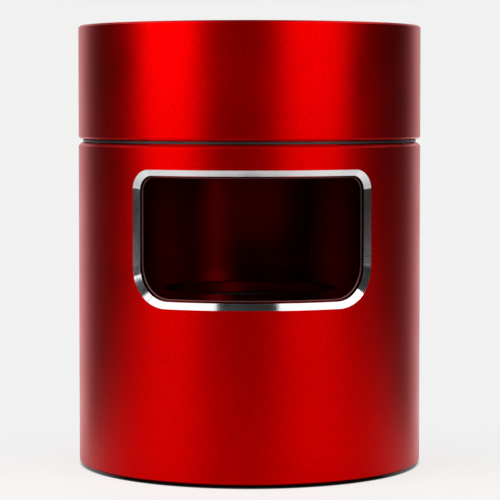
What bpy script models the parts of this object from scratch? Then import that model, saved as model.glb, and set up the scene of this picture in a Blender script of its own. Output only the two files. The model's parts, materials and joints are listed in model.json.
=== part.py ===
"""Windowed canister: a turned aluminium body with a framed window, a revolving
shutter drum inside it, a lift-off lid that turns the drum, and a floor plug
over a lower chamber.

Metres, +Z up. The origin is the middle of the underside, and the window faces -Y.
"""

import math

import bmesh
import bpy
from mathutils import Matrix, Vector

MM = 0.001

# ---- driving dimensions ----------------------------------------------------

BODY_RADIUS = 31.5 * MM
TOTAL_HEIGHT = 80.4 * MM
WALL = 1.65 * MM
FIT_GAP = 0.3 * MM            # clearance between pieces that touch on the real thing
SEAM_LOW = 59.0 * MM          # top rim of the body
SEAM_HIGH = 59.8 * MM         # bottom rim of the lid

WINDOW_LOW = 30.65 * MM
WINDOW_HIGH = 54.7 * MM
WINDOW_HALF_ARC = 22.7 * MM   # half the window's width, along the curved wall
WINDOW_CORNER_LOW = 7.0 * MM
WINDOW_CORNER_HIGH = 3.5 * MM
BEVEL_DEPTH = 1.0 * MM        # of the bright bevel, into the wall
# how far in from the outline, at the sides, the sill and the head of the window:
BEVEL_INSET = (0.8 * MM, 1.15 * MM, 1.05 * MM)
SHUTTER_INSET = (0.51 * MM, 1.55 * MM, 1.45 * MM)
SHUTTER_EDGE = 0.17 * MM      # the small chamfer round the shutter's opening

LID_TOP_PLATE = 2.4 * MM
LID_TOP_BREAK = 0.35 * MM     # edge breaks on the red pieces
LID_RIM_BREAK = 0.33 * MM
BODY_RIM_BREAK = 0.5 * MM
BODY_FOOT_BREAK = 0.3 * MM

# ---- body, from the ground up ----------------------------------------------

BORE = BODY_RADIUS - WALL
BODY_BOTTOM = 0.4 * MM
BASE_TOP = 4.4 * MM
BASE_HUB_RADIUS = 24.3 * MM
BASE_HUB_BOTTOM = 0.6 * MM
BASE_RIM_BOTTOM = 1.3 * MM
BASE_LEDGE_RADIUS = 24.0 * MM
BASE_LEDGE_TOP = 7.7 * MM
BASE_O_RING_Z = 3.0 * MM
FOOT_INNER = 24.6 * MM
FOOT_OUTER = 29.2 * MM
FOOT_HEIGHT = 1.0 * MM

FLOOR_LEDGE_RADIUS = 27.0 * MM
FLOOR_LEDGE_LOW = 22.0 * MM
FLOOR_LEDGE_TOP = 26.0 * MM
FLOOR_FLANGE_TOP = 28.7 * MM
FLOOR_WEB_BOTTOM = 29.1 * MM
FLOOR_SKIRT_INNER = 26.0 * MM
FLOOR_BOSS_RADIUS = 20.5 * MM
FLOOR_TOP = 32.1 * MM
FLOOR_O_RING_Z = 27.5 * MM

RIM_OF_PARTS = BORE - FIT_GAP        # radius of the pieces that slide into the bore
O_RING_THICKNESS = 1.2 * MM
O_RING_CENTRE = 29.05 * MM
O_RING_GROOVE = 28.3 * MM            # radius of a groove's floor
O_RING_GROOVE_WIDTH = 1.6 * MM

# ---- shutter drum ----------------------------------------------------------

SHUTTER_THICKNESS = 0.8 * MM
SHUTTER_OUTER = BORE - FIT_GAP
SHUTTER_INNER = SHUTTER_OUTER - SHUTTER_THICKNESS
SHUTTER_LOW = 29.6 * MM
SHUTTER_HIGH = 55.6 * MM
SHUTTER_SEAM_ANGLE = math.radians(24.4)   # from straight back, towards +X
SHUTTER_SEAM_WIDTH = 0.25 * MM
COLLAR_INNER = 26.2 * MM
COLLAR_SPIGOT_LOW = 53.9 * MM
COLLAR_TOP = 69.8 * MM
PIN_RADIUS = 0.5 * MM
PIN_Z = 54.75 * MM
SNAP_RING_Z = 56.9 * MM
SNAP_RING_INNER = 29.4 * MM
SNAP_RING_OUTER = 30.2 * MM
SNAP_RING_HEIGHT = 0.7 * MM
SNAP_GROOVE_WIDTH = 1.2 * MM
SNAP_GROOVE_BODY = 30.35 * MM
SNAP_GROOVE_COLLAR = 29.0 * MM
LID_O_RING_Z = 63.1 * MM
LID_O_RING_CENTRE = 29.0 * MM
LID_O_RING_THICKNESS = 1.44 * MM
LID_O_RING_GROOVE = 28.1 * MM
LID_O_RING_GROOVE_WIDTH = 2.0 * MM
THRUST_RING_INNER = 28.6 * MM
SLIP_RING_INNER = 29.95 * MM
SLIP_RING_OUTER = 30.7 * MM

# ---- lid insert ------------------------------------------------------------

INSERT_LOW = 71.8 * MM
INSERT_INNER = 25.5 * MM
LUG_LOW = 67.6 * MM
LUG_INNER = 28.0 * MM
LUG_OUTER = 29.2 * MM
LUG_WIDTH = 4.0 * MM
LID_SEAL_INNER = 26.4 * MM
LID_SEAL_OUTER = 27.7 * MM

# ---- floor plug ------------------------------------------------------------

COUNTERSINK_RADIUS = 16.25 * MM
PLUG_BORE = 16.0 * MM
PLUG_BORE_TOP = 31.85 * MM
PLUG_SEAT = 28.1 * MM
PLUG_NECK_BORE = 12.5 * MM
PLUG_NECK_LOW = 24.1 * MM
PLUG_TOP = 29.4 * MM
PLUG_HEAD_RADIUS = 14.1 * MM
PLUG_FLANGE_RADIUS = 15.7 * MM
PLUG_FLANGE_TOP = 28.8 * MM
PLUG_SEAL_TOP = 30.0 * MM
PLUG_SEAL_EDGE = 0.35 * MM
COIN_SLOT = (16 * MM, 1.8 * MM, 4.4 * MM)

# ---- screws ----------------------------------------------------------------

SCREW_HEAD_DEPTH = 1.0 * MM
SCREW_HEAD_EDGE = 0.15 * MM
SCREW_SINK = 0.15 * MM               # how far a head sits below the face round it
SOCKET_RADIUS = 0.75 * MM
SOCKET_DEPTH = 0.7 * MM
BASE_SCREW_CIRCLE = 26.3 * MM
BASE_SCREW_HEAD = 1.8 * MM
BASE_SCREW_SHANK = 1.1 * MM
BASE_SCREW_TOP = 7.2 * MM
BASE_TAP_RADIUS = 1.4 * MM
LID_SCREW_CIRCLE = 27.5 * MM
LID_SCREW_HEAD = 1.6 * MM
LID_SCREW_SHANK = 0.9 * MM
LID_TAP_RADIUS = 1.2 * MM
LID_TAP_DEPTH = 1.4 * MM

SHELL_SEGMENTS = 64
SEGMENTS = 48
SMALL_SEGMENTS = 36
TINY_SEGMENTS = 8
O_RING_SIDES = 6

COLOURS = {
    "red_anodised": ((0.52, 0.006, 0.009, 1.0), 0.36, 1.0),
    "black_nylon": ((0.012, 0.012, 0.013, 1.0), 0.45, 0.0),
    "black_rubber": ((0.009, 0.009, 0.009, 1.0), 0.7, 0.0),
    "white_ptfe": ((0.82, 0.82, 0.80, 1.0), 0.45, 0.0),
    "steel": ((0.55, 0.55, 0.56, 1.0), 0.28, 1.0),
}


# ---- scene helpers ---------------------------------------------------------

def clear_scene():
    for obj in list(bpy.data.objects):
        bpy.data.objects.remove(obj, do_unlink=True)


def new_collection(name):
    group = bpy.data.collections.new(name)
    bpy.context.scene.collection.children.link(group)
    return group


def make_material(name):
    colour, roughness, metallic = COLOURS[name]
    material = bpy.data.materials.new(name)
    material.use_nodes = True
    shader = material.node_tree.nodes["Principled BSDF"]
    shader.inputs["Base Color"].default_value = colour
    shader.inputs["Roughness"].default_value = roughness
    shader.inputs["Metallic"].default_value = metallic
    material.diffuse_color = colour
    return material


def new_object(name, mesh, group, z=0.0):
    obj = bpy.data.objects.new(name, mesh)
    obj.location = (0.0, 0.0, z)
    group.objects.link(obj)
    return obj


def axis_empty(name, z):
    empty = bpy.data.objects.new(name, None)
    empty.empty_display_size = 10 * MM
    empty.location = (0.0, 0.0, z)
    PARTS.objects.link(empty)
    return empty


def attach(obj, axis):
    """Parent obj to an axis empty and leave it where it is."""
    obj.parent = axis
    obj.location = obj.location - axis.location


def as_cutter(obj):
    obj.hide_render = True
    obj.display_type = "WIRE"
    return obj


# ---- turned pieces ---------------------------------------------------------

def turned(name, profile, z, closed=True, group=None, segments=SEGMENTS):
    """Turn a profile of (radius, height) points about the Z axis.

    The points run down the outer side and back up the inner one. A profile that
    isn't closed starts and ends on the axis.
    """
    count = len(profile)
    links = [(i, i + 1) for i in range(count - 1)]
    if closed:
        links.append((count - 1, 0))
    mesh = bpy.data.meshes.new(name)
    mesh.from_pydata([(radius, 0.0, height - z) for radius, height in profile], links, [])
    obj = new_object(name, mesh, group or PARTS, z)
    screw = obj.modifiers.new("turn", "SCREW")
    screw.axis = "Z"
    screw.angle = math.tau
    screw.steps = segments
    screw.render_steps = segments
    screw.use_merge_vertices = True
    screw.merge_threshold = 0.00001
    return obj


def ring_profile(inner, outer, low, high):
    return [(outer, high), (outer, low), (inner, low), (inner, high)]


def grooved(outer, floor, z, width):
    """The four points of a groove cut into a rim, top to bottom."""
    high = z + width / 2
    low = z - width / 2
    return [(outer, high), (floor, high), (floor, low), (outer, low)]


def adopt(name, group):
    """Name the object that an operator has just made, and keep it in this group only."""
    obj = bpy.context.object
    obj.name = name
    for old in list(obj.users_collection):
        old.objects.unlink(obj)
    group.objects.link(obj)
    return obj


def o_ring(name, z, centre=O_RING_CENTRE, thickness=O_RING_THICKNESS):
    bpy.ops.mesh.primitive_torus_add(
        major_segments=SEGMENTS, minor_segments=O_RING_SIDES, major_radius=centre,
        minor_radius=thickness / 2, location=(0.0, 0.0, z))
    return adopt(name, PARTS)


# ---- cutting ---------------------------------------------------------------

def combine(obj, other, operation="DIFFERENCE"):
    boolean = obj.modifiers.new(other.name, "BOOLEAN")
    boolean.operation = operation
    boolean.solver = "EXACT"
    boolean.object = other


def box(name, size, centre, angle=0.0):
    """A box turned about the Z axis by angle; it is a tool for cutting or joining."""
    mesh = bpy.data.meshes.new(name)
    shape = bmesh.new()
    bmesh.ops.create_cube(shape, size=1.0)
    bmesh.ops.scale(shape, vec=Vector(size), verts=shape.verts)
    bmesh.ops.translate(shape, vec=Vector(centre), verts=shape.verts)
    bmesh.ops.rotate(shape, matrix=Matrix.Rotation(angle, 3, "Z"), verts=shape.verts)
    shape.to_mesh(mesh)
    shape.free()
    return as_cutter(new_object(name, mesh, CUTTERS))


def drilled(name, obj, profile, radius, angles):
    """Cut the same turned hole into obj at each angle round a pitch circle."""
    drill = turned(name, profile, 0.0, closed=False, group=CUTTERS, segments=TINY_SEGMENTS)
    as_cutter(drill)
    repeat_round(drill, radius, angles)
    combine(obj, drill)


def evaluated_mesh(obj):
    bpy.context.view_layer.update()
    graph = bpy.context.evaluated_depsgraph_get()
    return bpy.data.meshes.new_from_object(obj.evaluated_get(graph))


def bake(obj, material):
    """Turn obj's modifiers into its mesh, give it its material and shade it."""
    mesh = evaluated_mesh(obj)
    obj.modifiers.clear()
    obj.data = mesh
    mesh.name = obj.name
    mesh.materials.clear()
    mesh.materials.append(material)
    mesh.shade_smooth()
    mesh.set_sharp_from_angle(angle=math.radians(32.0))
    return obj


def round_turn(angle, radius):
    return Matrix.Rotation(angle, 4, "Z") @ Matrix.Translation((radius, 0.0, 0.0))


def copies_round(obj, radius, angles):
    """Stand obj and its numbered twins, which share its mesh, on a pitch circle."""
    stem = obj.name
    height = obj.location.z
    twins = [obj] + [obj.copy() for _ in angles[1:]]
    for number, (twin, angle) in enumerate(zip(twins, angles), start=1):
        if twin is not obj:
            PARTS.objects.link(twin)
        twin.name = f"{stem}_{number}"
        twin.location = (radius * math.cos(angle), radius * math.sin(angle), height)
        twin.rotation_euler = (0.0, 0.0, angle)
    return twins


def repeat_round(obj, radius, angles):
    """Replace obj's mesh by copies of it, standing at angles on a pitch circle."""
    single = evaluated_mesh(obj)
    obj.modifiers.clear()
    shape = bmesh.new()
    for angle in angles:
        copy = single.copy()
        copy.transform(round_turn(angle, radius))
        shape.from_mesh(copy)
        bpy.data.meshes.remove(copy)
    shape.to_mesh(single)
    shape.free()
    obj.data = single


def even_angles(count, start=0.0):
    return [start + math.tau * i / count for i in range(count)]


BASE_SCREW_ANGLES = even_angles(4, math.radians(45.0))
LID_SCREW_ANGLES = even_angles(3, math.radians(90.0))
PIN_ANGLES = even_angles(3, math.radians(-30.0))


# ---- the window ------------------------------------------------------------

def window_outline(side, sill, head):
    """The window's outline, drawn in by these amounts, as (arc length, height) points.

    It runs counter-clockwise as seen from outside.
    """
    corner_steps = 6
    long_steps = 12
    side_steps = 2
    half = WINDOW_HALF_ARC - side
    low = WINDOW_LOW + sill
    high = WINDOW_HIGH - head
    small = WINDOW_CORNER_HIGH - (side + head) / 2
    large = WINDOW_CORNER_LOW - (side + sill) / 2
    corners = (
        (half - large, low + large, large, -90.0, side_steps),
        (half - small, high - small, small, 0.0, long_steps),
        (small - half, high - small, small, 90.0, side_steps),
        (large - half, low + large, large, 180.0, long_steps),
    )
    points = []
    for number, (s, z, radius, start, steps) in enumerate(corners):
        for i in range(corner_steps + 1):
            turn = math.radians(start + 90.0 * i / corner_steps)
            points.append((s + radius * math.cos(turn), z + radius * math.sin(turn)))
        last = Vector(points[-1])
        s, z, radius, start, _ = corners[(number + 1) % 4]
        turn = math.radians(start)
        following = Vector((s + radius * math.cos(turn), z + radius * math.sin(turn)))
        for i in range(1, steps):
            points.append(tuple(last.lerp(following, i / steps)))
    return points


def wrapped(outline, radius):
    """The outline laid on a cylinder of this radius, with its angles kept."""
    points = []
    for s, z in outline:
        angle = s / BODY_RADIUS
        points.append(Vector((radius * math.sin(angle), -radius * math.cos(angle), z)))
    return points


def flattened(points, y):
    return [Vector((point.x, y, point.z)) for point in points]


def window_cutter(name, rings):
    """A closed tool through the wall, lofted from rings between two flat ends."""
    front = flattened(rings[0], -BODY_RADIUS - 3 * MM)
    back = flattened(rings[-1], -20 * MM)
    loops = [front] + rings + [back]
    shape = bmesh.new()
    layers = [[shape.verts.new(point) for point in loop] for loop in loops]
    count = len(front)
    for outer, inner in zip(layers, layers[1:]):
        for i in range(count):
            j = (i + 1) % count
            shape.faces.new((outer[i], inner[i], inner[j], outer[j]))
    shape.faces.new(layers[0])
    shape.faces.new(list(reversed(layers[-1])))
    bmesh.ops.recalc_face_normals(shape, faces=shape.faces)
    mesh = bpy.data.meshes.new(name)
    shape.to_mesh(mesh)
    shape.free()
    return as_cutter(new_object(name, mesh, CUTTERS))


# ---- the pieces ------------------------------------------------------------

def make_body_shell():
    rim = BODY_RADIUS - BODY_RIM_BREAK
    foot = BODY_RADIUS - BODY_FOOT_BREAK
    groove = grooved(BORE, SNAP_GROOVE_BODY, SNAP_RING_Z, SNAP_GROOVE_WIDTH)
    profile = [
        (rim, SEAM_LOW), (BODY_RADIUS, SEAM_LOW - BODY_RIM_BREAK),
        (BODY_RADIUS, BODY_BOTTOM + BODY_FOOT_BREAK), (foot, BODY_BOTTOM),
        (BORE, BODY_BOTTOM), (BORE, BASE_TOP + FIT_GAP),
        (BASE_LEDGE_RADIUS, BASE_TOP + FIT_GAP), (BASE_LEDGE_RADIUS, BASE_LEDGE_TOP),
        (BORE, BASE_LEDGE_TOP), (BORE, FLOOR_LEDGE_LOW),
        (FLOOR_LEDGE_RADIUS, FLOOR_LEDGE_LOW), (FLOOR_LEDGE_RADIUS, FLOOR_LEDGE_TOP),
        (BORE, FLOOR_LEDGE_TOP), *reversed(groove), (BORE, SEAM_LOW),
    ]
    shell = turned("body_shell", profile, 0.0, segments=SHELL_SEGMENTS)
    flare = 0.5                       # the bevel runs on outside the wall by this share
    outside = window_outline(*(-flare * inset for inset in BEVEL_INSET))
    combine(shell, window_cutter("window_tool", [
        wrapped(outside, BODY_RADIUS + flare * BEVEL_DEPTH),
        wrapped(window_outline(*BEVEL_INSET), BODY_RADIUS - BEVEL_DEPTH)]))
    hole = [(0.0, BASE_LEDGE_TOP + MM), (BASE_TAP_RADIUS, BASE_LEDGE_TOP + MM),
            (BASE_TAP_RADIUS, BASE_TOP), (0.0, BASE_TOP)]
    drilled("base_tap_holes", shell, hole, BASE_SCREW_CIRCLE, BASE_SCREW_ANGLES)
    return bake(shell, MATERIALS["red_anodised"])


def screw_profile(low, high, head, shank):
    """A countersunk screw with its head down, its flat at low."""
    return [(0.0, high), (shank, high), (shank, low + SCREW_HEAD_DEPTH),
            (head, low + SCREW_HEAD_EDGE), (head, low), (0.0, low)]


def screw_hole_profile(low, high, head, shank):
    """The hole for such a screw, open at both ends."""
    return [(0.0, high), (shank, high), (shank, low + SCREW_HEAD_DEPTH + FIT_GAP),
            (head, low + SCREW_HEAD_EDGE + FIT_GAP), (head, low - MM), (0.0, low - MM)]


def make_screws(name, low, high, head, shank, circle, angles):
    screw = turned(name, screw_profile(low, high, head, shank), low, closed=False,
                   segments=TINY_SEGMENTS)
    bpy.ops.mesh.primitive_cylinder_add(
        vertices=6, radius=SOCKET_RADIUS, depth=2 * SOCKET_DEPTH, location=(0.0, 0.0, low))
    combine(screw, as_cutter(adopt(name + "_socket_tool", CUTTERS)))
    bake(screw, MATERIALS["steel"])
    return copies_round(screw, circle, angles)


def make_base():
    """Base plate with its seal, its screws and the rubber foot that hides them."""
    groove = grooved(RIM_OF_PARTS, O_RING_GROOVE, BASE_O_RING_Z, O_RING_GROOVE_WIDTH)
    profile = [
        (0.0, BASE_TOP), (RIM_OF_PARTS, BASE_TOP), *groove, (RIM_OF_PARTS, BASE_RIM_BOTTOM),
        (BASE_HUB_RADIUS, BASE_RIM_BOTTOM), (BASE_HUB_RADIUS, BASE_HUB_BOTTOM),
        (0.0, BASE_HUB_BOTTOM),
    ]
    plate = turned("base_plate", profile, BASE_TOP, closed=False)
    low = BASE_RIM_BOTTOM + SCREW_SINK
    hole = screw_hole_profile(low, BASE_TOP + MM, BASE_SCREW_HEAD + FIT_GAP,
                              BASE_SCREW_SHANK + FIT_GAP)
    drilled("base_screw_holes", plate, hole, BASE_SCREW_CIRCLE, BASE_SCREW_ANGLES)
    bake(plate, MATERIALS["red_anodised"])
    seal = bake(o_ring("base_o_ring", BASE_O_RING_Z), MATERIALS["black_rubber"])
    screws = make_screws("base_screw", low, BASE_SCREW_TOP, BASE_SCREW_HEAD,
                         BASE_SCREW_SHANK, BASE_SCREW_CIRCLE, BASE_SCREW_ANGLES)
    edge = 0.3 * MM
    foot_profile = [
        (FOOT_OUTER, FOOT_HEIGHT), (FOOT_OUTER, edge), (FOOT_OUTER - edge, 0.0),
        (FOOT_INNER + edge, 0.0), (FOOT_INNER, edge), (FOOT_INNER, FOOT_HEIGHT),
    ]
    foot = bake(turned("foot_ring", foot_profile, 0.0), MATERIALS["black_rubber"])
    return [plate, seal, *screws, foot]


def make_floor():
    """Floor plate between the two chambers, its seal and the drum's thrust ring."""
    low = FLOOR_LEDGE_TOP + FIT_GAP
    disc = SHUTTER_INNER - FIT_GAP
    edge = 0.2 * MM
    profile = [
        (disc - edge, FLOOR_TOP), (disc, FLOOR_TOP - edge), (disc, FLOOR_FLANGE_TOP),
        (RIM_OF_PARTS, FLOOR_FLANGE_TOP),
        *grooved(RIM_OF_PARTS, O_RING_GROOVE, FLOOR_O_RING_Z, O_RING_GROOVE_WIDTH),
        (RIM_OF_PARTS, low), (FLOOR_SKIRT_INNER, low), (FLOOR_SKIRT_INNER, FLOOR_WEB_BOTTOM),
        (FLOOR_BOSS_RADIUS, FLOOR_WEB_BOTTOM), (FLOOR_BOSS_RADIUS, low), (PLUG_NECK_BORE, low),
        (PLUG_NECK_BORE, PLUG_SEAT), (PLUG_BORE, PLUG_SEAT), (PLUG_BORE, PLUG_BORE_TOP),
        (COUNTERSINK_RADIUS, FLOOR_TOP),
    ]
    plate = bake(turned("floor_plate", profile, FLOOR_TOP), MATERIALS["red_anodised"])
    seal = bake(o_ring("floor_o_ring", FLOOR_O_RING_Z), MATERIALS["black_rubber"])
    gap = 0.2 * MM
    thrust = ring_profile(THRUST_RING_INNER, RIM_OF_PARTS, FLOOR_FLANGE_TOP + gap,
                          SHUTTER_LOW - gap)
    bearing = bake(turned("drum_thrust_ring", thrust, FLOOR_FLANGE_TOP),
                   MATERIALS["white_ptfe"])
    return [plate, seal, bearing]


def make_slip_ring():
    """Thin washer in the seam, which the lid turns on."""
    gap = 0.15 * MM
    profile = ring_profile(SLIP_RING_INNER, SLIP_RING_OUTER, SEAM_LOW + gap, SEAM_HIGH - gap)
    return bake(turned("slip_ring", profile, SEAM_LOW), MATERIALS["black_nylon"])


def radial_pin(name, radius, inner, outer, group):
    """A pin that lies along +X, between two radii, at the drum's joint."""
    bpy.ops.mesh.primitive_cylinder_add(
        vertices=TINY_SEGMENTS, radius=radius, depth=outer - inner, location=(0.0, 0.0, PIN_Z))
    pin = adopt(name, group)
    pin.data.transform(Matrix.Rotation(math.pi / 2, 4, "Y"))
    return pin


def make_drum():
    """The rolled shutter, the turned collar that carries it, and their small pieces."""
    wall = ring_profile(SHUTTER_INNER, SHUTTER_OUTER, SHUTTER_LOW, SHUTTER_HIGH)
    shutter = turned("shutter_sleeve", wall, SHUTTER_LOW)
    flare = 2 * SHUTTER_EDGE
    outside = window_outline(*(inset - SHUTTER_EDGE - flare for inset in SHUTTER_INSET))
    combine(shutter, window_cutter("shutter_window_tool", [
        wrapped(outside, SHUTTER_OUTER + flare),
        wrapped(window_outline(*SHUTTER_INSET), SHUTTER_OUTER - SHUTTER_EDGE)]))
    seam = box("shutter_seam_tool", (SHUTTER_SEAM_WIDTH, 6 * MM, 40 * MM),
               (0.0, SHUTTER_OUTER, (SHUTTER_LOW + SHUTTER_HIGH) / 2), -SHUTTER_SEAM_ANGLE)
    combine(shutter, seam)

    spigot = SHUTTER_INNER - FIT_GAP
    shoulder = SHUTTER_HIGH + FIT_GAP
    edge = 0.4 * MM
    profile = [
        (SHUTTER_OUTER - edge, COLLAR_TOP), (SHUTTER_OUTER, COLLAR_TOP - edge),
        *grooved(SHUTTER_OUTER, LID_O_RING_GROOVE, LID_O_RING_Z, LID_O_RING_GROOVE_WIDTH),
        *grooved(SHUTTER_OUTER, SNAP_GROOVE_COLLAR, SNAP_RING_Z, SNAP_GROOVE_WIDTH),
        (SHUTTER_OUTER, shoulder), (spigot, shoulder), (spigot, COLLAR_SPIGOT_LOW),
        (COLLAR_INNER, COLLAR_SPIGOT_LOW), (COLLAR_INNER, COLLAR_TOP),
    ]
    collar = turned("drum_collar", profile, shoulder)
    notch_width = LUG_WIDTH + 2 * FIT_GAP
    notch_low = LUG_LOW - FIT_GAP
    notch_inner = LUG_INNER - FIT_GAP
    for side, name in ((1.0, "right"), (-1.0, "left")):
        middle = (side * (notch_inner + 2 * MM), 0.0, notch_low + 2 * MM)
        combine(collar, box("lug_notch_tool_" + name, (4 * MM, notch_width, 4 * MM), middle))

    hole_inner = COLLAR_INNER - MM
    hole_outer = SHUTTER_OUTER + MM
    holes = radial_pin("pin_hole_tool", PIN_RADIUS + 0.2 * MM, hole_inner, hole_outer, CUTTERS)
    as_cutter(holes)
    repeat_round(holes, (hole_inner + hole_outer) / 2, PIN_ANGLES)
    combine(shutter, holes)
    combine(collar, holes)
    bake(shutter, MATERIALS["red_anodised"])
    bake(collar, MATERIALS["red_anodised"])
    pin_inner = COLLAR_INNER + 0.5 * MM
    pin_outer = SHUTTER_OUTER - 0.15 * MM
    pin = radial_pin("collar_pin", PIN_RADIUS, pin_inner, pin_outer, PARTS)
    bake(pin, MATERIALS["steel"])
    pins = copies_round(pin, (pin_inner + pin_outer) / 2, PIN_ANGLES)

    snap = turned("drum_snap_ring", ring_profile(
        SNAP_RING_INNER, SNAP_RING_OUTER, SNAP_RING_Z - SNAP_RING_HEIGHT / 2,
        SNAP_RING_Z + SNAP_RING_HEIGHT / 2), SNAP_RING_Z)
    combine(snap, box("snap_ring_gap_tool", (3 * MM, 4 * MM, 4 * MM),
                      (0.0, (SNAP_RING_INNER + SNAP_RING_OUTER) / 2, SNAP_RING_Z)))
    bake(snap, MATERIALS["steel"])
    seal = bake(o_ring("collar_o_ring", LID_O_RING_Z, LID_O_RING_CENTRE, LID_O_RING_THICKNESS),
                MATERIALS["black_rubber"])
    return [shutter, collar, *pins, snap, seal]


def make_lid():
    """Lid shell with the ring inside it that drives the drum, its screws and its seal."""
    under = TOTAL_HEIGHT - LID_TOP_PLATE
    profile = [
        (0.0, TOTAL_HEIGHT), (BODY_RADIUS - LID_TOP_BREAK, TOTAL_HEIGHT),
        (BODY_RADIUS, TOTAL_HEIGHT - LID_TOP_BREAK), (BODY_RADIUS, SEAM_HIGH + LID_RIM_BREAK),
        (BODY_RADIUS - LID_RIM_BREAK, SEAM_HIGH), (BORE, SEAM_HIGH), (BORE, under), (0.0, under),
    ]
    shell = turned("lid_shell", profile, SEAM_HIGH, closed=False, segments=SHELL_SEGMENTS)
    tap = [(0.0, under + LID_TAP_DEPTH), (LID_TAP_RADIUS, under + LID_TAP_DEPTH),
           (LID_TAP_RADIUS, under - MM), (0.0, under - MM)]
    drilled("lid_tap_holes", shell, tap, LID_SCREW_CIRCLE, LID_SCREW_ANGLES)
    bake(shell, MATERIALS["red_anodised"])

    insert_high = under - FIT_GAP
    insert = turned("lid_drive_ring", ring_profile(INSERT_INNER, BORE - FIT_GAP,
                                                   INSERT_LOW, insert_high), INSERT_LOW)
    overlap = 1.0 * MM
    lug_height = INSERT_LOW + overlap - LUG_LOW
    lug_depth = LUG_OUTER - LUG_INNER
    for side, name in ((1.0, "right"), (-1.0, "left")):
        middle = (side * (LUG_INNER + lug_depth / 2), 0.0, LUG_LOW + lug_height / 2)
        lug = box("drive_lug_" + name, (lug_depth, LUG_WIDTH, lug_height), middle)
        combine(insert, lug, "UNION")
    low = INSERT_LOW + SCREW_SINK
    hole = screw_hole_profile(low, insert_high + MM, LID_SCREW_HEAD + 0.2 * MM,
                              LID_SCREW_SHANK + FIT_GAP)
    drilled("lid_screw_holes", insert, hole, LID_SCREW_CIRCLE, LID_SCREW_ANGLES)
    bake(insert, MATERIALS["black_nylon"])
    screws = make_screws("lid_screw", low, under + 1.0 * MM, LID_SCREW_HEAD,
                         LID_SCREW_SHANK, LID_SCREW_CIRCLE, LID_SCREW_ANGLES)
    seal_profile = ring_profile(LID_SEAL_INNER, LID_SEAL_OUTER, COLLAR_TOP + 0.2 * MM,
                                INSERT_LOW - FIT_GAP)
    seal = bake(turned("lid_seal", seal_profile, COLLAR_TOP), MATERIALS["black_rubber"])
    return [shell, insert, *screws, seal]


def make_plug():
    """Plug in the floor, with a coin slot, and the soft ring round its head."""
    neck = PLUG_NECK_BORE - FIT_GAP
    edge = 0.3 * MM
    fine_edge = 0.1 * MM
    profile = [
        (0.0, PLUG_TOP), (PLUG_HEAD_RADIUS - fine_edge, PLUG_TOP),
        (PLUG_HEAD_RADIUS, PLUG_TOP - fine_edge), (PLUG_HEAD_RADIUS, PLUG_FLANGE_TOP),
        (PLUG_FLANGE_RADIUS, PLUG_FLANGE_TOP), (PLUG_FLANGE_RADIUS, PLUG_SEAT + FIT_GAP),
        (neck, PLUG_SEAT + FIT_GAP), (neck, PLUG_NECK_LOW + edge),
        (neck - edge, PLUG_NECK_LOW), (0.0, PLUG_NECK_LOW),
    ]
    plug = turned("floor_plug", profile, PLUG_SEAT, closed=False, segments=SMALL_SEGMENTS)
    combine(plug, box("coin_slot_tool", COIN_SLOT, (0.0, 0.0, PLUG_TOP)))
    bake(plug, MATERIALS["red_anodised"])
    gap = 0.15 * MM
    inner = PLUG_HEAD_RADIUS + gap
    low = PLUG_FLANGE_TOP + gap
    soft = PLUG_SEAL_EDGE
    ring = [
        (PLUG_FLANGE_RADIUS - soft, PLUG_SEAL_TOP), (PLUG_FLANGE_RADIUS, PLUG_SEAL_TOP - soft),
        (PLUG_FLANGE_RADIUS, low), (inner, low), (inner, PLUG_SEAL_TOP - soft),
        (inner + soft, PLUG_SEAL_TOP),
    ]
    seal = bake(turned("plug_seal", ring, PLUG_SEAT, segments=SMALL_SEGMENTS),
                MATERIALS["black_rubber"])
    return [plug, seal]


def build():
    drum_axis = axis_empty("drum_axis", SHUTTER_LOW)
    lid_axis = axis_empty("lid_axis", SEAM_HIGH)
    plug_axis = axis_empty("plug_axis", PLUG_SEAT)
    make_body_shell()
    make_base()
    make_floor()
    make_slip_ring()
    for pieces, axis in ((make_drum(), drum_axis), (make_lid(), lid_axis),
                         (make_plug(), plug_axis)):
        for piece in pieces:
            attach(piece, axis)


clear_scene()
PARTS = new_collection("window_canister")
CUTTERS = new_collection("cutters")
MATERIALS = {name: make_material(name) for name in COLOURS}
build()
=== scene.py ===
import json
import math

import bpy
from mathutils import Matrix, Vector


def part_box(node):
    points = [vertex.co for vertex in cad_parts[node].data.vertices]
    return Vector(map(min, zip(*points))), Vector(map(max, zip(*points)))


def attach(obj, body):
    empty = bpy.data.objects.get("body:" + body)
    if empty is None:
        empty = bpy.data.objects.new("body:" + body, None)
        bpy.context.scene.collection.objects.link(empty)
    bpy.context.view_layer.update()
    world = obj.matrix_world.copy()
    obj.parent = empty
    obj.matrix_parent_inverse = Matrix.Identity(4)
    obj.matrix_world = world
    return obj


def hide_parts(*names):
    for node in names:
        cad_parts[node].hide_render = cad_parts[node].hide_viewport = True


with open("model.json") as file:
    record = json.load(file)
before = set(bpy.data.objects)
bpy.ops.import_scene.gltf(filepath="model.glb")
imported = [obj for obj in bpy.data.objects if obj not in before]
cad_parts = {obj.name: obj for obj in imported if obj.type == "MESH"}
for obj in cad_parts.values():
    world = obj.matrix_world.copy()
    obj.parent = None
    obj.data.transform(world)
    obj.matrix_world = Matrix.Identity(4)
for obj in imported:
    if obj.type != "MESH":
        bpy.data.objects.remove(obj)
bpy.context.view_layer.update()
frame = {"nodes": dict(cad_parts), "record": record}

SLOTS = {row["node"]: row["material_slot"] for row in frame["record"]["subparts"]}
MM = 0.001

# ---- sizes, read from the frame where it has them ---------------------------

SHELL_LOW, SHELL_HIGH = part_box("body_shell")
LID_LOW, LID_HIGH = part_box("lid_shell")
SLEEVE_LOW, SLEEVE_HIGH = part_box("shutter_sleeve")
FLOOR_LOW, FLOOR_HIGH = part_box("floor_plate")

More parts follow.
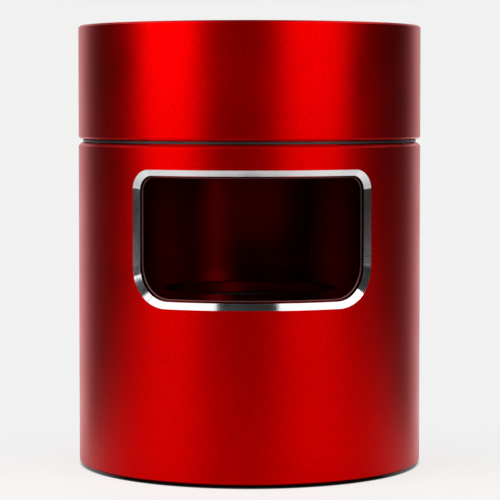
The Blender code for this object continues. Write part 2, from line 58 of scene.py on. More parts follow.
RADIUS = SHELL_HIGH.x
BORE = 29.85 * MM
FOOT = SHELL_LOW.z
SEAM_LOW = SHELL_HIGH.z
SEAM_HIGH = LID_LOW.z
TOP = LID_HIGH.z

# Each inset is given at the sides, at the sill and at the head.
WINDOW_LOW = 30.65 * MM
WINDOW_HIGH = 54.7 * MM
WINDOW_HALF = 22.7 * MM        # along the curved wall
CORNER_LOW = 7.0 * MM
CORNER_HIGH = 3.5 * MM
NO_INSET = (0.0, 0.0, 0.0)
BEVEL_INSET = (0.8 * MM, 1.15 * MM, 1.05 * MM)
BEVEL_DEPTH = 1.0 * MM

SLEEVE_OUTER = SLEEVE_HIGH.x
SLEEVE_INNER = SLEEVE_OUTER - 0.8 * MM
SLEEVE_INSET = (0.51 * MM, 1.55 * MM, 1.45 * MM)
SLEEVE_EDGE = 0.17 * MM        # the bare metal edge round its opening
SLEEVE_BREAK = 0.06 * MM
SLEEVE_WALL_LOW = SLEEVE_LOW.z + 0.2 * MM
SLEEVE_WALL_HIGH = SLEEVE_HIGH.z - 0.1 * MM
SEAM_TURN = math.pi - math.radians(24.4)   # the butt seam, from the front towards +X
SEAM_HALF = 0.125 * MM / SLEEVE_OUTER

PATCH_HALF = 26.0 * MM         # the stretch of wall that is meshed round the window
PATCH_LOW = 30.2 * MM
PATCH_HIGH = 55.2 * MM

ROUND_STEPS = 240              # columns in a full turn of a plain piece
BACK_STEPS = 176               # columns in the wall behind the patch
SEAMED_STEPS = (72, 104)       # the same, to the butt seam and on from it
SIDE_STEPS = 24
LONG_STEPS = 72
CORNER_STEPS = 16
PATCH_RINGS = 4
FILLET_STEPS = 5
RIM_STEPS = 3
O_RING_STEPS = 20


# ---- meshes with exact normals ----------------------------------------------

class Skin:
    """Collects faces with the normal of each corner, and makes one mesh of them."""

    def __init__(self):
        self.points = []
        self.numbers = {}
        self.faces = []
        self.normals = []
        self.slots = []

    def vertex(self, point):
        key = tuple(round(value * 1e8) for value in point)
        if key not in self.numbers:
            self.numbers[key] = len(self.points)
            self.points.append(tuple(point))
        return self.numbers[key]

    def face(self, corners, normals, slot=0):
        """Add a face, turned so that it agrees with its normals. Doubled corners are dropped."""
        ids = [self.vertex(point) for point in corners]
        keep = [i for i in range(len(ids)) if ids[i] != ids[i - 1]]
        if len(keep) < 3:
            return
        points = [Vector(corners[i]) for i in keep]
        bends = [Vector(normals[i]) for i in keep]
        across = Vector()
        for i in range(len(points)):
            across += points[i - 1].cross(points[i])
        if across.dot(sum(bends, Vector())) < 0:
            keep.reverse()
            bends.reverse()
        self.faces.append([ids[i] for i in keep])
        self.normals.extend(bend.normalized() for bend in bends)
        self.slots.append(slot)

    def build(self, node, body, *materials):
        """Make the mesh, let it ride on the body, and let it stand for the CAD node."""
        mesh = bpy.data.meshes.new(node + "_fine")
        mesh.from_pydata(self.points, [], self.faces)
        for material in materials:
            mesh.materials.append(material)
        mesh.polygons.foreach_set("material_index", self.slots)
        mesh.shade_smooth()
        mesh.normals_split_custom_set(self.normals)
        obj = bpy.data.objects.new(mesh.name, mesh)
        bpy.context.scene.collection.objects.link(obj)
        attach(obj, body)
        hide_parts(node)


def fillet_arc(before, corner, after, fillet, steps):
    """The arc that rounds a corner, as points with the profile's outward normal."""
    back = (before - corner).normalized()
    ahead = (after - corner).normalized()
    half = back.angle(ahead) / 2
    centre = corner + (back + ahead).normalized() * fillet / math.sin(half)
    first = corner + back * fillet / math.tan(half) - centre
    last = corner + ahead * fillet / math.tan(half) - centre
    arriving = corner - before
    outward = Vector((-arriving.y, arriving.x)).normalized()
    sign = 1.0 if outward.dot(first) > 0 else -1.0
    turn = first.angle_signed(last)
    points = []
    for k in range(steps + 1):
        angle = turn * k / steps
        spoke = Vector((first.x * math.cos(angle) + first.y * math.sin(angle),
                        first.y * math.cos(angle) - first.x * math.sin(angle)))
        points.append((centre + spoke, sign * spoke.normalized()))
    return points


def segments_of(profile, closed=True, steps=FILLET_STEPS):
    """Turn (radius, height, fillet) corners into segments with the normal at each end.

    The corners run down the outer side and back up the inner one. A fillet is the
    radius that rounds its corner, and 0 leaves it sharp.
    """
    corners = [Vector((r, z)) for r, z, _ in profile]
    count = len(corners)
    arcs = []
    for i, (corner, (_, _, fillet)) in enumerate(zip(corners, profile)):
        inner = closed or 0 < i < count - 1
        if inner and fillet:
            arcs.append(fillet_arc(corners[i - 1], corner, corners[(i + 1) % count],
                                   fillet, steps))
        else:
            arcs.append([(corner, None)])
    segments = []
    for i, arc in enumerate(arcs):
        for (p, n), (q, m) in zip(arc, arc[1:]):
            segments.append((p, q, n, m))
        if i == count - 1 and not closed:
            break
        p = arc[-1][0]
        q = arcs[(i + 1) % count][0][0]
        along = q - p
        flat = Vector((-along.y, along.x)).normalized()
        segments.append((p, q, flat, flat))
    return segments


def full_turn():
    return [math.tau * i / ROUND_STEPS for i in range(ROUND_STEPS + 1)]


def around(point, angle):
    """A (radius, height) point, or a normal, turned to an angle from the front.

    Lengths are rounded, so that faces made in different ways share their corners.
    """
    radius = round(point[0], 7)
    return (radius * math.sin(angle), -radius * math.cos(angle), round(point[1], 7))


def revolve(skin, segments, angles, slot=0):
    for a, b in zip(angles, angles[1:]):
        for p, q, n, m in segments:
            skin.face([around(p, a), around(q, a), around(q, b), around(p, b)],
                      [around(n, a), around(m, a), around(m, b), around(n, b)], slot)


def turned(node, body, profile, material, closed=True):
    """A turned piece. A profile that isn't closed runs from the axis back to the axis."""
    skin = Skin()
    revolve(skin, segments_of(profile, closed), full_turn())
    skin.build(node, body, material)


def square_ring(node, body, inner, upper, lower, material):
    """A ring of rectangular section, with the fillets of its upper and lower edges."""
    low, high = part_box(node)
    turned(node, body, [(high.x, high.z, upper), (high.x, low.z, lower),
                        (inner, low.z, lower), (inner, high.z, upper)], material)


def o_ring(node, body, thick, material):
    """A ring of round section, whose radius is thick."""
    low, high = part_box(node)
    middle = (low.z + high.z) / 2
    centre = high.x - thick
    section = []
    for i in range(O_RING_STEPS + 1):
        turn = -math.tau * i / O_RING_STEPS
        away = Vector((math.cos(turn), math.sin(turn)))
        section.append((Vector((centre, middle)) + thick * away, away))
    skin = Skin()
    revolve(skin, [(p, q, n, m) for (p, n), (q, m) in zip(section, section[1:])], full_turn())
    skin.build(node, body, material)


# ---- walls with the window in them ------------------------------------------

def outline(half, low, high, corner_low, corner_high):
    """Points of a rounded opening, each with its outward normal, as (s, z) pairs."""
    corners = (
        (half - corner_low, low + corner_low, corner_low, -90.0, SIDE_STEPS),
        (half - corner_high, high - corner_high, corner_high, 0.0, LONG_STEPS),
        (corner_high - half, high - corner_high, corner_high, 90.0, SIDE_STEPS),
        (corner_low - half, low + corner_low, corner_low, 180.0, LONG_STEPS),
    )
    points = []
    for number, (s, z, radius, start, steps) in enumerate(corners):
        for i in range(CORNER_STEPS + 1):
            turn = math.radians(start + 90.0 * i / CORNER_STEPS)
            away = Vector((math.cos(turn), math.sin(turn)))
            points.append((Vector((s, z)) + radius * away, away))
        last, away = points[-1]
        s, z, radius, start, _ = corners[(number + 1) % 4]
        turn = math.radians(start)
        following = Vector((s, z)) + radius * Vector((math.cos(turn), math.sin(turn)))
        for i in range(1, steps):
            points.append((last.lerp(following, i / steps), away))
    return points


def window(inset):
    side, sill, head = inset
    return outline(WINDOW_HALF - side, WINDOW_LOW + sill, WINDOW_HIGH - head,
                   CORNER_LOW - (side + sill) / 2, CORNER_HIGH - (side + head) / 2)


def carried(ring, from_radius, to_radius):
    """The same outline further in, where a cut that runs along Y meets another radius."""
    moved = []
    for spot, away in ring:
        angle = math.asin(from_radius * math.sin(spot.x / RADIUS) / to_radius)
        moved.append((Vector((RADIUS * angle, spot.y)), away))
    return moved


def on_wall(spot, radius):
    return around((radius, spot.y), round(spot.x, 7) / RADIUS)


def patch_rows():
    return [PATCH_LOW + (PATCH_HIGH - PATCH_LOW) * i / SIDE_STEPS for i in range(SIDE_STEPS + 1)]


def front_angles():
    return [round((-1 + 2 * i / LONG_STEPS) * PATCH_HALF, 7) / RADIUS
            for i in range(LONG_STEPS + 1)]


def evenly(start, end, count):
    return [start + (end - start) * i / count for i in range(count + 1)]


def back_angles():
    start = PATCH_HALF / RADIUS
    return [start + (math.tau - 2 * start) * i / BACK_STEPS for i in range(BACK_STEPS + 1)]


def seamed_back():
    """The columns behind the patch, in two runs that leave the butt seam open."""
    start = PATCH_HALF / RADIUS
    return [evenly(start, SEAM_TURN - SEAM_HALF, SEAMED_STEPS[0]),
            evenly(SEAM_TURN + SEAM_HALF, math.tau - start, SEAMED_STEPS[1])]


def pierced_wall(skin, radius, low, high, ring, side, back):
    """A cylinder wall from low to high with an opening in its front.

    side is 1 where the wall faces out and -1 where it faces the axis, and back
    holds the runs of columns behind the patch.
    """
    flat = Vector((side, 0.0))

    def band(z0, z1, angles):
        revolve(skin, [(Vector((radius, z0)), Vector((radius, z1)), flat, flat)], angles)

    rows = patch_rows()
    for angles in back:
        for z0, z1 in zip(rows, rows[1:]):
            band(z0, z1, angles)
    for z0, z1 in ((low, PATCH_LOW), (PATCH_HIGH, high)):
        for angles in [front_angles()] + back:
            band(z0, z1, angles)
    edge = outline(PATCH_HALF, PATCH_LOW, PATCH_HIGH, 0.0, 0.0)
    for layer in range(PATCH_RINGS):
        for i in range(len(ring)):
            j = (i + 1) % len(ring)
            spots = [ring[k][0].lerp(edge[k][0], share / PATCH_RINGS)
                     for k, share in ((i, layer), (j, layer), (j, layer + 1), (i, layer + 1))]
            skin.face([on_wall(spot, radius) for spot in spots],
                      [side * Vector(around((1.0, 0.0), spot.x / RADIUS)) for spot in spots])


def cut_normal(outer, outer_radius, inner, inner_radius):
    """Square to the line down the cut and to the outline's own direction."""
    spot, away = outer
    angle = spot.x / RADIUS
    up = Vector((0.0, 0.0, 1.0))
    tangent = Vector((math.cos(angle), math.sin(angle), 0.0))
    down = Vector(on_wall(inner[0], inner_radius)) - Vector(on_wall(spot, outer_radius))
    normal = down.cross(away.x * up - away.y * tangent)
    inward = -(away.x * tangent + away.y * up)
    return normal if normal.dot(inward) > 0 else -normal


def cut_strip(skin, first, first_radius, second, second_radius, slot):
    """The strip of cut metal between two outlines. Its normals face the opening."""
    for i in range(len(first)):
        j = (i + 1) % len(first)
        points = []
        normals = []
        for ring, k, radius in ((first, i, first_radius), (first, j, first_radius),
                                (second, j, second_radius), (second, i, second_radius)):
            points.append(on_wall(ring[k][0], radius))
            normals.append(cut_normal(first[k], first_radius, second[k], second_radius))
        skin.face(points, normals, slot)


# ---- shader nodes -----------------------------------------------------------

def new_material(name):
    material = bpy.data.materials.new(name)
    material.use_nodes = True
    tree = material.node_tree
    shader = tree.nodes["Principled BSDF"]
    coords = tree.nodes.new("ShaderNodeTexCoord")
    return material, tree, shader, coords.outputs["Object"]


def noise(tree, coords, scale, detail=2.0, roughness=0.5):
    node = tree.nodes.new("ShaderNodeTexNoise")
    node.inputs["Scale"].default_value = scale
    node.inputs["Detail"].default_value = detail
    node.inputs["Roughness"].default_value = roughness
    tree.links.new(coords, node.inputs["Vector"])
    return node.outputs["Fac"]


def ramp(tree, value, low, high, out_low, out_high):
    node = tree.nodes.new("ShaderNodeMapRange")
    node.inputs["From Min"].default_value = low
    node.inputs["From Max"].default_value = high
    node.inputs["To Min"].default_value = out_low
    node.inputs["To Max"].default_value = out_high
    tree.links.new(value, node.inputs["Value"])
    return node.outputs["Result"]


def mixed_colour(tree, value, first, second):
    node = tree.nodes.new("ShaderNodeMix")
    node.data_type = "RGBA"
    node.inputs["A"].default_value = (*first, 1.0)
    node.inputs["B"].default_value = (*second, 1.0)
    tree.links.new(value, node.inputs["Factor"])
    return node.outputs["Result"]


def bump(tree, shader, height, strength, distance):
    node = tree.nodes.new("ShaderNodeBump")
    node.inputs["Strength"].default_value = strength
    node.inputs["Distance"].default_value = distance
    tree.links.new(height, node.inputs["Height"])
    tree.links.new(node.outputs["Normal"], shader.inputs["Normal"])


def roughened(tree, shader, pattern, rough_low, rough_high):
    """Let the roughness follow a noise, whose values lie mostly between 0.3 and 0.7."""
    tree.links.new(ramp(tree, pattern, 0.3, 0.7, rough_low, rough_high),
                   shader.inputs["Roughness"])


def vector_math(tree, operation, vector, other=None):
    node = tree.nodes.new("ShaderNodeVectorMath")
    node.operation = operation
    tree.links.new(vector, node.inputs[0])
    if other:
        node.inputs[1].default_value = other
    return node.outputs["Value" if operation == "LENGTH" else "Vector"]


def calculated(tree, operation, *values):
    """A Math node, whose inputs are other nodes' outputs or plain numbers."""
    node = tree.nodes.new("ShaderNodeMath")
    node.operation = operation
    for value, socket in zip(values, node.inputs):
        if isinstance(value, float):
            socket.default_value = value
        else:
            tree.links.new(value, socket)
    return node.outputs["Value"]


def split_xyz(tree, vector):
    node = tree.nodes.new("ShaderNodeSeparateXYZ")
    tree.links.new(vector, node.inputs["Vector"])
    return node.outputs


def camera_ray(tree):
    return tree.nodes.new("ShaderNodeLightPath").outputs["Is Camera Ray"]


# ---- materials: noise scales are per metre, bump distances in metres ---------

def anodised(name, dark, light, rough_low, rough_high):
    """Bead-blasted aluminium with a dyed anodic film: fine dimples under a satin skin."""
    material, tree, shader, coords = new_material(name)
    blast = noise(tree, coords, 3800.0, 2.0, 0.55)
    cloud = noise(tree, coords, 120.0)
    tone = ramp(tree, blast, 0.3, 0.7, 0.0, 1.0)
    tree.links.new(mixed_colour(tree, tone, dark, light), shader.inputs["Base Color"])
    roughened(tree, shader, cloud, rough_low, rough_high)
    shader.inputs["Metallic"].default_value = 1.0
    bump(tree, shader, blast, 0.35, 0.00004)
    return material


def polished(name, dark, light, rough_low, rough_high):
    """Bare aluminium as a single diamond pass leaves it: bright, with faint tool lines."""
    material, tree, shader, coords = new_material(name)
    lines = noise(tree, coords, 2600.0, 3.0, 0.6)
    haze = noise(tree, coords, 300.0)
    tree.links.new(mixed_colour(tree, lines, dark, light), shader.inputs["Base Color"])
    roughened(tree, shader, haze, rough_low, rough_high)
    shader.inputs["Metallic"].default_value = 1.0
    bump(tree, shader, lines, 0.25, 0.00002)
    return material


def soft_black(name, dark, light, rough_low, rough_high, grain):
    """Rubber or moulded plastic: near black, with a fine matt grain."""
    material, tree, shader, coords = new_material(name)
    fine = noise(tree, coords, grain, 3.0)
    cloud = noise(tree, coords, 200.0)
    tree.links.new(mixed_colour(tree, fine, dark, light), shader.inputs["Base Color"])
    roughened(tree, shader, cloud, rough_low, rough_high)
    bump(tree, shader, fine, 0.3, 0.00003)
    return material


def turned_marks(name, dark, light, metallic, rough_low, rough_high):
    """A lathe-turned surface: fine rings round the part's axis."""
    material, tree, shader, coords = new_material(name)
    level = vector_math(tree, "MULTIPLY", coords, (1.0, 1.0, 0.0))
    join = tree.nodes.new("ShaderNodeCombineXYZ")
    tree.links.new(vector_math(tree, "LENGTH", level), join.inputs["X"])
    rings = noise(tree, join.outputs["Vector"], 9000.0, 3.0, 0.6)
    tree.links.new(mixed_colour(tree, rings, dark, light), shader.inputs["Base Color"])
    roughened(tree, shader, rings, rough_low, rough_high)
    shader.inputs["Metallic"].default_value = metallic
    bump(tree, shader, rings, 0.2, 0.00002)
    return material


RED = anodised("red_anodised", (0.48, 0.0001, 0.0002), (0.66, 0.0002, 0.0004), 0.32, 0.36)
# Darker copies of the red anodised for the inside of the canister: painted shade, least on the
# floor plate and most in its bore.
SHADED_RED = anodised("red_anodised_painted_shade", (0.125, 0.0003, 0.0004), (0.165, 0.0005, 0.0006), 0.22, 0.26)
SHADED_RED_BORE = anodised("red_bore_painted_shade", (0.10, 0.0003, 0.0004), (0.14, 0.0005, 0.0006), 0.38, 0.44)
SHADED_RED_FLOOR = turned_marks("red_turned_painted_shade", (0.15, 0.0003, 0.0004), (0.20, 0.0005, 0.0006),
                          1.0, 0.14, 0.18)
# The sleeve's bare metal window edge, painted dim and pinkish: painted shade, with a painted
# reflection of the red inside.
RAW_EDGE_SHADED = anodised("raw_edge_painted_shade", (0.09, 0.04, 0.04), (0.13, 0.06, 0.06), 0.4, 0.5)
BRIGHT = polished("diamond_cut", (0.80, 0.80, 0.82), (0.95, 0.95, 0.96), 0.07, 0.12)
RUBBER = soft_black("black_rubber", (0.006, 0.006, 0.006), (0.014, 0.014, 0.014),
                    0.6, 0.75, 2500.0)
NYLON = soft_black("black_nylon", (0.008, 0.008, 0.009), (0.016, 0.016, 0.017),
                   0.35, 0.5, 1800.0)
PTFE = turned_marks("white_ptfe", (0.72, 0.72, 0.70), (0.86, 0.86, 0.84), 0.0, 0.35, 0.5)
STEEL = turned_marks("turned_steel", (0.42, 0.42, 0.43), (0.66, 0.66, 0.67), 1.0, 0.2, 0.35)


def paint_cad_pieces():
    """Give the screws, pins and other pieces that keep their CAD mesh its slot's material."""
    materials = {"steel": STEEL, "black_nylon": NYLON, "black_rubber": RUBBER,
                 "white_ptfe": PTFE, "red_anodised": RED}
    for node, obj in frame["nodes"].items():
        obj.data.materials.clear()
        obj.data.materials.append(materials[SLOTS[node]])


# ---- the body ---------------------------------------------------------------

def ledge(radius, low, high, fine):
    """Corners of a ring that stands in from the bore, for its mate to sit on."""
    return [(BORE, low, 0.0), (radius, low, fine), (radius, high, fine), (BORE, high, 0.0)]


def make_body_shell():
    fine = 0.08 * MM
    rim_break = 0.5 * MM
    foot_break = 0.3 * MM
    outer_low = FOOT + 1.0 * MM
    outer_high = SEAM_LOW - 1.2 * MM
    bore_low = 27.0 * MM
    bore_high = 55.8 * MM
    groove_low = 56.3 * MM         # for the snap ring
    groove_high = 57.5 * MM
    groove_floor = BORE + 0.5 * MM
    rim = segments_of([
        (BORE, groove_high, fine), (BORE, SEAM_LOW, fine),
        (RADIUS - rim_break, SEAM_LOW, fine), (RADIUS, SEAM_LOW - rim_break, fine),
        (RADIUS, outer_high, 0.0)], closed=False)
    lower_bore = segments_of([
        (RADIUS, outer_low, 0.0), (RADIUS, FOOT + foot_break, fine),
        (RADIUS - foot_break, FOOT, fine), (BORE, FOOT, fine),
        *ledge(24.0 * MM, 4.7 * MM, 7.7 * MM, fine),
        *ledge(27.0 * MM, 22.0 * MM, 26.0 * MM, fine),
        (BORE, bore_low, 0.0)], closed=False)
    groove = segments_of([
        (BORE, bore_high, 0.0), (BORE, groove_low, 0.0), (groove_floor, groove_low, 0.0),
        (groove_floor, groove_high, 0.0), (BORE, groove_high, 0.0)], closed=False)
    skin = Skin()
    for angles in (front_angles(), back_angles()):
        for run in (rim, lower_bore, groove):
            revolve(skin, run, angles)
    deep = RADIUS - BEVEL_DEPTH
    edge = window(NO_INSET)
    throat = window(BEVEL_INSET)
    mouth = carried(throat, deep, BORE)
    pierced_wall(skin, RADIUS, outer_low, outer_high, edge, 1, [back_angles()])
    pierced_wall(skin, BORE, bore_low, bore_high, mouth, -1, [back_angles()])
    cut_strip(skin, edge, RADIUS, throat, deep, 1)
    # The land behind the bevel is red anodised painted darker, as painted shade.
    cut_strip(skin, throat, deep, mouth, BORE, 2)
    skin.build("body_shell", "canister_body", RED, BRIGHT, SHADED_RED)


def make_base():
    fine = 0.1 * MM
    disc = FLOOR_HIGH.x
    hub = 24.3 * MM
    under = 1.3 * MM
    gland = 28.3 * MM              # the floor of the o-ring's groove
    gland_low = 2.2 * MM
    gland_high = 3.8 * MM
    low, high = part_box("base_plate")
    turned("base_plate", "canister_body", [
        (0.0, high.z, 0.0), (disc, high.z, fine), (disc, gland_high, fine),
        (gland, gland_high, 0.0), (gland, gland_low, 0.0), (disc, gland_low, fine),
        (disc, under, fine), (hub, under, 0.0), (hub, low.z, 3 * fine), (0.0, low.z, 0.0)],
        RED, closed=False)
    square_ring("foot_ring", "canister_body", 24.6 * MM, fine, 0.35 * MM, RUBBER)


def make_floor():
    fine = 0.15 * MM
    top = FLOOR_HIGH.z
    low = FLOOR_LOW.z
    disc = SLEEVE_INNER - 0.3 * MM
    flange = FLOOR_HIGH.x
    step = 28.7 * MM
    gland = 28.3 * MM
    gland_low = 26.7 * MM
    gland_high = 28.3 * MM
    web = 29.1 * MM
    pocket_outer = 26.0 * MM
    pocket_inner = 20.5 * MM
    seat_bore = 12.5 * MM
    seat = 28.1 * MM               # the ledge that the plug stands on
    bore = 16.0 * MM
    bore_top = 31.85 * MM
    broken_edge = 16.25 * MM
    bore_end = 16.1 * MM           # the bore's darker copy, painted shade, is used within this radius
    cut = segments_of([
        (disc, top, fine), (disc, step, 0.0), (flange, step, fine),
        (flange, gland_high, 0.0), (gland, gland_high, 0.0), (gland, gland_low, 0.0),
        (flange, gland_low, 0.0), (flange, low, fine), (pocket_outer, low, fine),
        (pocket_outer, web, 0.0), (pocket_inner, web, 0.0), (pocket_inner, low, fine),
        (seat_bore, low, fine), (seat_bore, seat, fine), (bore, seat, 0.0),
        (bore, bore_top, 0.0), (broken_edge, top, 0.0)])
    skin = Skin()
    # The floor plate and its bore are red anodised painted darker, as painted shade, the bore
    # the darkest.
    revolve(skin, [part for part in cut if max(part[0].x, part[1].x) >= bore_end], full_turn())
    revolve(skin, [part for part in cut if max(part[0].x, part[1].x) < bore_end],
            full_turn(), 1)
    skin.build("floor_plate", "canister_body", SHADED_RED_FLOOR, SHADED_RED_BORE)


def make_slip_rings():
    fine = 0.1 * MM
    square_ring("drum_thrust_ring", "canister_body", 28.6 * MM, fine, fine, PTFE)
    square_ring("slip_ring", "canister_body", 29.95 * MM, fine, fine, NYLON)


# ---- the shutter drum -------------------------------------------------------

def sleeve_rims():
    """The broken upper and lower edges of the sleeve, beyond its pierced wall."""
    low = SLEEVE_LOW.z
    high = SLEEVE_HIGH.z
    upper = [(SLEEVE_INNER, SLEEVE_WALL_HIGH, 0.0), (SLEEVE_INNER, high, SLEEVE_BREAK),
             (SLEEVE_OUTER, high, SLEEVE_BREAK), (SLEEVE_OUTER, SLEEVE_WALL_HIGH, 0.0)]
    lower = [(SLEEVE_OUTER, SLEEVE_WALL_LOW, 0.0), (SLEEVE_OUTER, low, SLEEVE_BREAK),
             (SLEEVE_INNER, low, SLEEVE_BREAK), (SLEEVE_INNER, SLEEVE_WALL_LOW, 0.0)]
    return [segments_of(profile, closed=False, steps=RIM_STEPS) for profile in (upper, lower)]


def close_seam(skin):
    """The two cut ends of the rolled sheet, which face each other across the butt seam."""
    upper, lower = sleeve_rims()
    rows = [SLEEVE_WALL_LOW] + patch_rows()
    section = [(SLEEVE_INNER, z) for z in rows + [SLEEVE_WALL_HIGH]]
    section += [tuple(end) for _, end, _, _ in upper]
    section += [(SLEEVE_OUTER, z) for z in reversed(rows)]
    section += [tuple(end) for _, end, _, _ in lower][:-1]
    for angle, turn in ((SEAM_TURN - SEAM_HALF, 1.0), (SEAM_TURN + SEAM_HALF, -1.0)):
        normal = (turn * math.cos(angle), turn * math.sin(angle), 0.0)
        skin.face([around(point, angle) for point in section], [normal] * len(section))


def make_sleeve():
    skin = Skin()
    back = seamed_back()
    for angles in [front_angles()] + back:
        for rim in sleeve_rims():
            revolve(skin, rim, angles)
    deep = SLEEVE_OUTER - SLEEVE_EDGE
    edge = window([inset - SLEEVE_EDGE for inset in SLEEVE_INSET])
    throat = window(SLEEVE_INSET)
    mouth = carried(throat, deep, SLEEVE_INNER)
    pierced_wall(skin, SLEEVE_OUTER, SLEEVE_WALL_LOW, SLEEVE_WALL_HIGH, edge, 1, back)
    pierced_wall(skin, SLEEVE_INNER, SLEEVE_WALL_LOW, SLEEVE_WALL_HIGH, mouth, -1, back)
    # The bare edge round the sleeve's opening carries the painted shade of the window recess.
    cut_strip(skin, edge, SLEEVE_OUTER, throat, deep, 1)
    cut_strip(skin, throat, deep, mouth, SLEEVE_INNER, 0)
    close_seam(skin)
    # The sleeve is red anodised painted darker, as painted shade inside the canister.
    skin.build("shutter_sleeve", "shutter_drum", SHADED_RED, RAW_EDGE_SHADED)


# ---- the plug, the lid and the o-rings --------------------------------------

def make_plug_seal():
    square_ring("plug_seal", "plug", 14.25 * MM, 0.35 * MM, 0.15 * MM, RUBBER)


def make_lid():
    fine = 0.08 * MM
    top_break = 0.35 * MM
    rim_break = 0.33 * MM
    root = 0.3 * MM                # the fillet between the wall and the underside
    under = TOP - 2.4 * MM
    turned("lid_shell", "lid", [
        (0.0, TOP, 0.0), (RADIUS - top_break, TOP, fine), (RADIUS, TOP - top_break, fine),
        (RADIUS, SEAM_HIGH + rim_break, fine), (RADIUS - rim_break, SEAM_HIGH, fine),
        (BORE, SEAM_HIGH, fine), (BORE, under, root), (0.0, under, 0.0)],
        RED, closed=False)


def make_o_rings():
    o_ring("base_o_ring", "canister_body", 0.6 * MM, RUBBER)
    o_ring("floor_o_ring", "canister_body", 0.6 * MM, RUBBER)
    o_ring("collar_o_ring", "shutter_drum", 0.72 * MM, RUBBER)


# ---- stage, light and camera: metres from here on ---------------------------

FLOOR_REACH = 0.54
FLOOR_SIDES = 96
# The floor's glow is painted light, which keeps its shadows faint.
FLOOR_GLOW = 0.70
FLOOR_GREY = (0.16, 0.16, 0.16)
CONTACT_SHADOW_GREY = (0.01, 0.01, 0.01)
CONTACT_SHIFT = 0.0005             # the painted contact shadow lies a little towards the front
CONTACT_EDGE = (0.0310, 0.0316)
MIRRORED_SHARE = (0.60, 1.0)       # of the glow, in reflections: in the middle and aside; the dimmer middle is painted shade
MIRRORED_REACH = (0.012, 0.045)
FADE_START = 0.06
BEHIND = (-0.02, 0.045)            # along Y, where the floor gives way to the backdrop

BACKDROP = (0.88, 0.88, 0.877, 1.0)
ROOM = (0.95, 0.95, 0.95, 1.0)
ROOM_LEAST = 0.03
PANEL_AIM = Vector((0.0, 0.0, 0.045))
PANEL_DISTANCE = 0.9

CAMERA_DISTANCE = 12.90 * RADIUS
CAMERA_HEIGHT = 65.9 * MM
CAMERA_TURN = math.radians(1.13)   # the window looks slightly to the right of the camera
CAMERA_PITCH = math.radians(2.67)
CAMERA_LENS = 158.1
CAMERA_SHIFT = (0.0011, -0.085)


def make_floor_plane():
    """A pale paper floor that glows, painted light of its own, so that its shadows stay faint.

    A hair's breadth round the foot is painted black, a painted contact shadow, and in
    reflections its glow is painted dimmer in the middle, as shade near the foot. It thins
    out to the backdrop with the distance, and at once behind the canister.
    """
    bpy.ops.mesh.primitive_circle_add(vertices=FLOOR_SIDES, radius=FLOOR_REACH,
                                      fill_type="NGON", location=(0.0, 0.0, 0.0))
    floor = bpy.context.object
    floor.name = "studio_floor"
    material, tree, shader, coords = new_material("studio_floor")
    x, y, _ = split_xyz(tree, coords)
    from_axis = vector_math(tree, "LENGTH", coords)
    moved = vector_math(tree, "ADD", coords, (0.0, CONTACT_SHIFT, 0.0))
    # lit is 0 in the painted contact shadow round the foot and 1 outside it.
    lit = ramp(tree, vector_math(tree, "LENGTH", moved), *CONTACT_EDGE, 0.0, 1.0)
    # In reflections the glow is painted dimmer in the middle, as painted shade near the foot.
    share = ramp(tree, calculated(tree, "ABSOLUTE", x), *MIRRORED_REACH, *MIRRORED_SHARE)
    # The glow itself is painted light from the floor.
    glow = calculated(tree, "MULTIPLY", ramp(tree, lit, 0.0, 1.0, 0.0, FLOOR_GLOW),
                      calculated(tree, "MAXIMUM", camera_ray(tree), share))
    cover = calculated(tree, "MULTIPLY",
                       ramp(tree, from_axis, FADE_START, FLOOR_REACH, 1.0, 0.0),
                       ramp(tree, y, *BEHIND, 1.0, 0.0))
    tree.links.new(mixed_colour(tree, lit, CONTACT_SHADOW_GREY, FLOOR_GREY),
                   shader.inputs["Base Color"])
    tree.links.new(glow, shader.inputs["Emission Strength"])
    tree.links.new(cover, shader.inputs["Alpha"])
    shader.inputs["Emission Color"].default_value = (1.0, 1.0, 0.99, 1.0)
    shader.inputs["Roughness"].default_value = 0.9
    floor.data.materials.append(material)


def make_world():
    """A studio that is pale behind the canister and dark round the camera."""
    world = bpy.data.worlds.new("studio")
    bpy.context.scene.world = world
    world.use_nodes = True
    tree = world.node_tree
    tree.nodes.clear()
    coords = tree.nodes.new("ShaderNodeTexCoord")
    _, y, z = split_xyz(tree, coords.outputs["Generated"])
    behind = ramp(tree, y, 0.68, 0.86, 0.0, 1.0)
    not_above = ramp(tree, z, 0.35, 0.65, 1.0, 0.1)
    under = ramp(tree, z, -0.16, -0.02, 0.22, 0.0)
    not_in_front = ramp(tree, y, 0.15, 0.45, 0.0, 1.0)
    rest = calculated(tree, "MULTIPLY_ADD", under, not_in_front, ROOM_LEAST)
    room = tree.nodes.new("ShaderNodeBackground")
    room.inputs["Color"].default_value = ROOM
    tree.links.new(calculated(tree, "MULTIPLY_ADD", behind, not_above, rest),
                   room.inputs["Strength"])
    backdrop = tree.nodes.new("ShaderNodeBackground")
    backdrop.inputs["Color"].default_value = BACKDROP
    mix = tree.nodes.new("ShaderNodeMixShader")
    tree.links.new(camera_ray(tree), mix.inputs["Fac"])
    tree.links.new(room.outputs["Background"], mix.inputs[1])
    tree.links.new(backdrop.outputs["Background"], mix.inputs[2])
    out = tree.nodes.new("ShaderNodeOutputWorld")
    tree.links.new(mix.outputs["Shader"], out.inputs["Surface"])


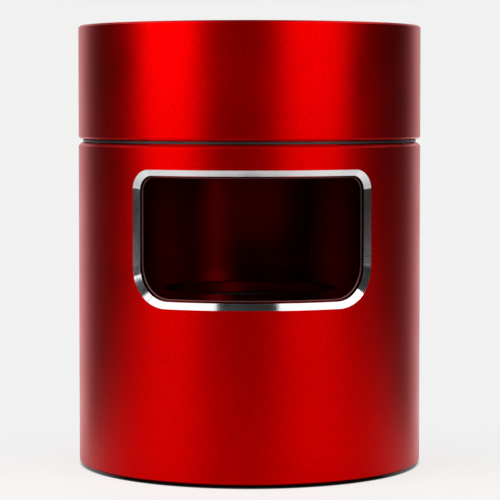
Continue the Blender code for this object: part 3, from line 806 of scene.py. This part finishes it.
def area_light(name, place, direction, width, height, radiance):
    data = bpy.data.lights.new(name, "AREA")
    data.shape = "RECTANGLE"
    data.size = width
    data.size_y = height
    data.energy = radiance * math.pi * width * height
    light = bpy.data.objects.new(name, data)
    light.location = place
    light.rotation_euler = direction.to_track_quat("-Z", "Y").to_euler()
    light.visible_camera = False
    bpy.context.scene.collection.objects.link(light)


def panel(name, azimuth, elevation, width, height, radiance):
    """A soft panel that looks at the canister; azimuth is from the front, towards +X."""
    a = math.radians(azimuth)
    e = math.radians(elevation)
    away = Vector((math.sin(a) * math.cos(e), -math.cos(a) * math.cos(e), math.sin(e)))
    area_light(name, PANEL_AIM + away * PANEL_DISTANCE, -away, width, height, radiance)


def overhead(name, x):
    """A panel that looks straight down, over one side of the canister."""
    area_light(name, Vector((x, 0.0, 0.65)), Vector((0.0, 0.0, -1.0)), 0.5, 1.0, 1.2)


def make_lights():
    panel("left_panel", -55.5, 29.0, 0.74, 1.02, 3.1)
    panel("right_panel", 42.3, 29.0, 0.78, 1.02, 2.5)
    panel("left_strip", -20.0, 40.0, 0.16, 0.80, 1.1)
    panel("right_strip", 18.0, 40.0, 0.16, 0.80, 1.1)
    overhead("left_overhead", -0.41)
    overhead("right_overhead", 0.385)


def make_camera():
    data = bpy.data.cameras.new("camera")
    data.sensor_width = 36.0
    data.lens = CAMERA_LENS
    data.shift_x, data.shift_y = CAMERA_SHIFT
    data.clip_start = 0.01
    data.clip_end = 20.0
    camera = bpy.data.objects.new("camera", data)
    camera.location = (-CAMERA_DISTANCE * math.sin(CAMERA_TURN),
                       -CAMERA_DISTANCE * math.cos(CAMERA_TURN), CAMERA_HEIGHT)
    camera.rotation_euler = (math.pi / 2 - CAMERA_PITCH, 0.0, -CAMERA_TURN)
    bpy.context.scene.collection.objects.link(camera)
    bpy.context.scene.camera = camera


# ---- the whole scene --------------------------------------------------------

paint_cad_pieces()
make_body_shell()
make_base()
make_floor()
make_slip_rings()
make_sleeve()
make_plug_seal()
make_lid()
make_o_rings()
make_floor_plane()
make_world()
make_lights()
make_camera()
bpy.context.scene.view_settings.view_transform = "Standard"
